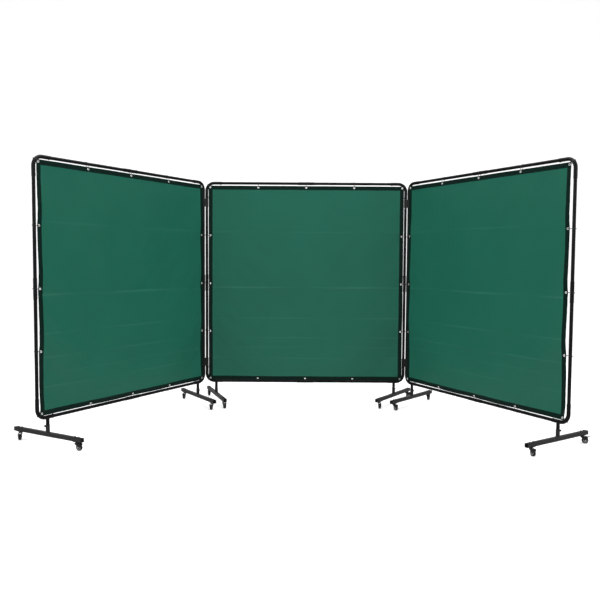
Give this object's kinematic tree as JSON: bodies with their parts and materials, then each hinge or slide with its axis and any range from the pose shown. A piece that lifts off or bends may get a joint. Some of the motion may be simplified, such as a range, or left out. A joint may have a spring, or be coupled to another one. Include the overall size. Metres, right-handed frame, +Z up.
{
  "type": "welding curtain screen",
  "caption": "Folding welding screen: green vinyl curtains tied into black tube frames, joined by clips and standing on turning feet with swivel casters.",
  "frame": {"origin": "on the floor, at the middle of the whole footprint at rest", "axes": "+X across the middle panel, towards the right wing seen from the front; +Y from the welder to the back; +Z up"},
  "size_m": [4.311, 2.1274, 2.0852],
  "materials": {
    "frame_paint": "black powder coat, satin",
    "foot_paint": "black powder coat, satin",
    "curtain_vinyl": "tinted vinyl sheet, smooth, with a doubled hem",
    "grommet_metal": "nickel-plated eyelet",
    "tie_plastic": "black nylon",
    "clip_plastic": "black moulded nylon",
    "foot_fittings_metal": "black zinc and black plastic",
    "fork_steel": "black stamped steel",
    "wheel_rubber": "black tread with a grey hub",
    "pedal_steel": "bright zinc-plated steel"
  },
  "bodies": {
    "centre_panel": {"centre_elbows": "frame_paint", "centre_tubes": "frame_paint", "centre_curtain": "curtain_vinyl", "centre_grommets": "grommet_metal", "centre_ties": "tie_plastic"},
    "left_panel": {"left_elbows": "frame_paint", "left_tubes": "frame_paint", "left_curtain": "curtain_vinyl", "left_grommets": "grommet_metal", "left_ties": "tie_plastic"},
    "right_panel": {"right_elbows": "frame_paint", "right_tubes": "frame_paint", "right_curtain": "curtain_vinyl", "right_grommets": "grommet_metal", "right_ties": "tie_plastic"},
    "left_clips": {"left_clips": "clip_plastic"},
    "right_clips": {"right_clips": "clip_plastic"},
    "left_outer_foot": {"left_outer_foot": "foot_paint", "left_outer_foot_fittings": "foot_fittings_metal"},
    "left_outer_near_fork": {"left_outer_near_fork": "fork_steel"},
    "left_outer_near_wheel": {"left_outer_near_wheel": "wheel_rubber"},
    "left_outer_far_fork": {"left_outer_far_fork": "fork_steel"},
    "left_outer_far_wheel": {"left_outer_far_wheel": "wheel_rubber"},
    "left_outer_pedal": {"left_outer_pedal": "pedal_steel"},
    "left_inner_foot": {"left_inner_foot": "foot_paint", "left_inner_foot_fittings": "foot_fittings_metal"},
    "left_inner_near_fork": {"left_inner_near_fork": "fork_steel"},
    "left_inner_near_wheel": {"left_inner_near_wheel": "wheel_rubber"},
    "left_inner_far_fork": {"left_inner_far_fork": "fork_steel"},
    "left_inner_far_wheel": {"left_inner_far_wheel": "wheel_rubber"},
    "left_inner_pedal": {"left_inner_pedal": "pedal_steel"},
    "centre_left_foot": {"centre_left_foot": "foot_paint", "centre_left_foot_fittings": "foot_fittings_metal"},
    "centre_left_near_fork": {"centre_left_near_fork": "fork_steel"},
    "centre_left_near_wheel": {"centre_left_near_wheel": "wheel_rubber"},
    "centre_left_far_fork": {"centre_left_far_fork": "fork_steel"},
    "centre_left_far_wheel": {"centre_left_far_wheel": "wheel_rubber"},
    "centre_left_pedal": {"centre_left_pedal": "pedal_steel"},
    "centre_right_foot": {"centre_right_foot": "foot_paint", "centre_right_foot_fittings": "foot_fittings_metal"},
    "centre_right_near_fork": {"centre_right_near_fork": "fork_steel"},
    "centre_right_near_wheel": {"centre_right_near_wheel": "wheel_rubber"},
    "centre_right_far_fork": {"centre_right_far_fork": "fork_steel"},
    "centre_right_far_wheel": {"centre_right_far_wheel": "wheel_rubber"},
    "centre_right_pedal": {"centre_right_pedal": "pedal_steel"},
    "right_inner_foot": {"right_inner_foot": "foot_paint", "right_inner_foot_fittings": "foot_fittings_metal"},
    "right_inner_near_fork": {"right_inner_near_fork": "fork_steel"},
    "right_inner_near_wheel": {"right_inner_near_wheel": "wheel_rubber"},
    "right_inner_far_fork": {"right_inner_far_fork": "fork_steel"},
    "right_inner_far_wheel": {"right_inner_far_wheel": "wheel_rubber"},
    "right_inner_pedal": {"right_inner_pedal": "pedal_steel"},
    "right_outer_foot": {"right_outer_foot": "foot_paint", "right_outer_foot_fittings": "foot_fittings_metal"},
    "right_outer_near_fork": {"right_outer_near_fork": "fork_steel"},
    "right_outer_near_wheel": {"right_outer_near_wheel": "wheel_rubber"},
    "right_outer_far_fork": {"right_outer_far_fork": "fork_steel"},
    "right_outer_far_wheel": {"right_outer_far_wheel": "wheel_rubber"},
    "right_outer_pedal": {"right_outer_pedal": "pedal_steel"}
  },
  "joints": [
    {"name": "left_clip_swing", "type": "hinge", "parent": "centre_panel", "child": "left_clips", "pos_m": [-0.89736, 0.72484, 1.136], "axis": [0, 0, 1], "range_deg": [-18, 5]},
    {"name": "left_wing_swing", "type": "hinge", "parent": "left_clips", "child": "left_panel", "pos_m": [-0.92609, 0.70859, 1.136], "axis": [0, 0, 1], "range_deg": [-18, 5]},
    {"name": "right_clip_swing", "type": "hinge", "parent": "centre_panel", "child": "right_clips", "pos_m": [0.96964, 0.72484, 1.136], "axis": [0, 0, -1], "range_deg": [-18, 5]},
    {"name": "right_wing_swing", "type": "hinge", "parent": "right_clips", "child": "right_panel", "pos_m": [0.998, 0.70797, 1.136], "axis": [0, 0, -1], "range_deg": [-18, 5]},
    {"name": "left_outer_foot_turn", "type": "hinge", "parent": "left_panel", "child": "left_outer_foot", "pos_m": [-1.84208, -0.81588, 0.145], "axis": [0, 0, 1], "range_deg": [-180, 180]},
    {"name": "left_outer_near_swivel", "type": "hinge", "parent": "left_outer_foot", "child": "left_outer_near_fork", "pos_m": [-2.10009, -0.67286, 0.052], "axis": [0, 0, 1], "continuous": true},
    {"name": "left_outer_near_spin", "type": "hinge", "parent": "left_outer_near_fork", "child": "left_outer_near_wheel", "pos_m": [-2.09645, -0.69354, 0.024], "axis": [0.9848, 0.1736, 0], "continuous": true},
    {"name": "left_outer_far_swivel", "type": "hinge", "parent": "left_outer_foot", "child": "left_outer_far_fork", "pos_m": [-1.58407, -0.9589, 0.052], "axis": [0, 0, 1], "continuous": true},
    {"name": "left_outer_far_spin", "type": "hinge", "parent": "left_outer_far_fork", "child": "left_outer_far_wheel", "pos_m": [-1.56504, -0.96778, 0.024], "axis": [0.4226, 0.9063, 0], "continuous": true},
    {"name": "left_outer_pedal_press", "type": "hinge", "parent": "left_outer_near_fork", "child": "left_outer_pedal", "pos_m": [-2.09376, -0.70881, 0.049], "axis": [0.9848, 0.1736, 0], "range_deg": [0, 14]},
    {"name": "left_inner_foot_turn", "type": "hinge", "parent": "left_panel", "child": "left_inner_foot", "pos_m": [-0.97167, 0.63273, 0.145], "axis": [0, 0, -1], "range_deg": [-8, 12]},
    {"name": "left_inner_near_swivel", "type": "hinge", "parent": "left_inner_foot", "child": "left_inner_near_fork", "pos_m": [-0.80671, 0.38816, 0.052], "axis": [0, 0, 1], "continuous": true},
    {"name": "left_inner_near_spin", "type": "hinge", "parent": "left_inner_near_fork", "child": "left_inner_near_wheel", "pos_m": [-0.81035, 0.36748, 0.024], "axis": [0.9848, -0.1736, 0], "continuous": true},
    {"name": "left_inner_far_swivel", "type": "hinge", "parent": "left_inner_foot", "child": "left_inner_far_fork", "pos_m": [-1.13663, 0.8773, 0.052], "axis": [0, 0, 1], "continuous": true},
    {"name": "left_inner_far_spin", "type": "hinge", "parent": "left_inner_far_fork", "child": "left_inner_far_wheel", "pos_m": [-1.14027, 0.85662, 0.024], "axis": [0.9848, -0.1736, 0], "continuous": true},
    {"name": "left_inner_pedal_press", "type": "hinge", "parent": "left_inner_near_fork", "child": "left_inner_pedal", "pos_m": [-0.81304, 0.35222, 0.049], "axis": [0.9848, -0.1736, 0], "range_deg": [0, 14]},
    {"name": "centre_left_foot_turn", "type": "hinge", "parent": "centre_panel", "child": "centre_left_foot", "pos_m": [-0.80886, 0.72484, 0.145], "axis": [0, 0, 1], "range_deg": [-8, 12]},
    {"name": "centre_left_near_swivel", "type": "hinge", "parent": "centre_left_foot", "child": "centre_left_near_fork", "pos_m": [-0.91073, 1.0017, 0.052], "axis": [0, 0, 1], "continuous": true},
    {"name": "centre_left_near_spin", "type": "hinge", "parent": "centre_left_near_fork", "child": "centre_left_near_wheel", "pos_m": [-0.91791, 1.02143, 0.024], "axis": [-0.9397, -0.342, 0], "continuous": true},
    {"name": "centre_left_far_swivel", "type": "hinge", "parent": "centre_left_foot", "child": "centre_left_far_fork", "pos_m": [-0.707, 0.44798, 0.052], "axis": [0, 0, 1], "continuous": true},
    {"name": "centre_left_far_spin", "type": "hinge", "parent": "centre_left_far_fork", "child": "centre_left_far_wheel", "pos_m": [-0.69813, 0.42895, 0.024], "axis": [0.9063, 0.4226, 0], "continuous": true},
    {"name": "centre_left_pedal_press", "type": "hinge", "parent": "centre_left_near_fork", "child": "centre_left_pedal", "pos_m": [-0.92321, 1.03599, 0.049], "axis": [-0.9397, -0.342, 0], "range_deg": [0, 14]},
    {"name": "centre_right_foot_turn", "type": "hinge", "parent": "centre_panel", "child": "centre_right_foot", "pos_m": [0.88114, 0.72484, 0.145], "axis": [0, 0, -1], "range_deg": [-8, 12]},
    {"name": "centre_right_near_swivel", "type": "hinge", "parent": "centre_right_foot", "child": "centre_right_near_fork", "pos_m": [1.04524, 0.96998, 0.052], "axis": [0, 0, 1], "continuous": true},
    {"name": "centre_right_near_spin", "type": "hinge", "parent": "centre_right_near_fork", "child": "centre_right_near_wheel", "pos_m": [1.06498, 0.97716, 0.024], "axis": [-0.342, 0.9397, 0], "continuous": true},
    {"name": "centre_right_far_swivel", "type": "hinge", "parent": "centre_right_foot", "child": "centre_right_far_fork", "pos_m": [0.71703, 0.4797, 0.052], "axis": [0, 0, 1], "continuous": true},
    {"name": "centre_right_far_spin", "type": "hinge", "parent": "centre_right_far_fork", "child": "centre_right_far_wheel", "pos_m": [0.71886, 0.45878, 0.024], "axis": [0.9962, 0.0872, 0], "continuous": true},
    {"name": "centre_right_pedal_press", "type": "hinge", "parent": "centre_right_near_fork", "child": "centre_right_pedal", "pos_m": [1.07954, 0.98246, 0.049], "axis": [-0.342, 0.9397, 0], "range_deg": [0, 14]},
    {"name": "right_inner_foot_turn", "type": "hinge", "parent": "right_panel", "child": "right_inner_foot", "pos_m": [1.04022, 0.63019, 0.145], "axis": [0, 0, 1], "range_deg": [-8, 12]},
    {"name": "right_inner_near_swivel", "type": "hinge", "parent": "right_inner_foot", "child": "right_inner_near_fork", "pos_m": [1.23376, 0.85283, 0.052], "axis": [0, 0, 1], "continuous": true},
    {"name": "right_inner_near_spin", "type": "hinge", "parent": "right_inner_near_fork", "child": "right_inner_near_wheel", "pos_m": [1.24426, 0.87102, 0.024], "axis": [-0.866, 0.5, 0], "continuous": true},
    {"name": "right_inner_far_swivel", "type": "hinge", "parent": "right_inner_foot", "child": "right_inner_far_fork", "pos_m": [0.84669, 0.40755, 0.052], "axis": [0, 0, 1], "continuous": true},
    {"name": "right_inner_far_spin", "type": "hinge", "parent": "right_inner_far_fork", "child": "right_inner_far_wheel", "pos_m": [0.85655, 0.38901, 0.024], "axis": [0.8829, 0.4695, 0], "continuous": true},
    {"name": "right_inner_pedal_press", "type": "hinge", "parent": "right_inner_near_fork", "child": "right_inner_pedal", "pos_m": [1.25201, 0.88444, 0.049], "axis": [-0.866, 0.5, 0], "range_deg": [0, 14]},
    {"name": "right_outer_foot_turn", "type": "hinge", "parent": "right_panel", "child": "right_outer_foot", "pos_m": [1.84662, -0.85501, 0.145], "axis": [0, 0, -1], "range_deg": [-180, 180]},
    {"name": "right_outer_near_swivel", "type": "hinge", "parent": "right_outer_foot", "child": "right_outer_near_fork", "pos_m": [2.09205, -0.69133, 0.052], "axis": [0, 0, 1], "continuous": true},
    {"name": "right_outer_near_spin", "type": "hinge", "parent": "right_outer_near_fork", "child": "right_outer_near_wheel", "pos_m": [2.11273, -0.69498, 0.024], "axis": [0.1736, 0.9848, 0], "continuous": true},
    {"name": "right_outer_far_swivel", "type": "hinge", "parent": "right_outer_foot", "child": "right_outer_far_fork", "pos_m": [1.6012, -1.01869, 0.052], "axis": [0, 0, 1], "continuous": true},
    {"name": "right_outer_far_spin", "type": "hinge", "parent": "right_outer_far_fork", "child": "right_outer_far_wheel", "pos_m": [1.60663, -1.03897, 0.024], "axis": [0.9659, 0.2588, 0], "continuous": true},
    {"name": "right_outer_pedal_press", "type": "hinge", "parent": "right_outer_near_fork", "child": "right_outer_pedal", "pos_m": [2.12799, -0.69767, 0.049], "axis": [0.1736, 0.9848, 0], "range_deg": [0, 14]}
  ]
}
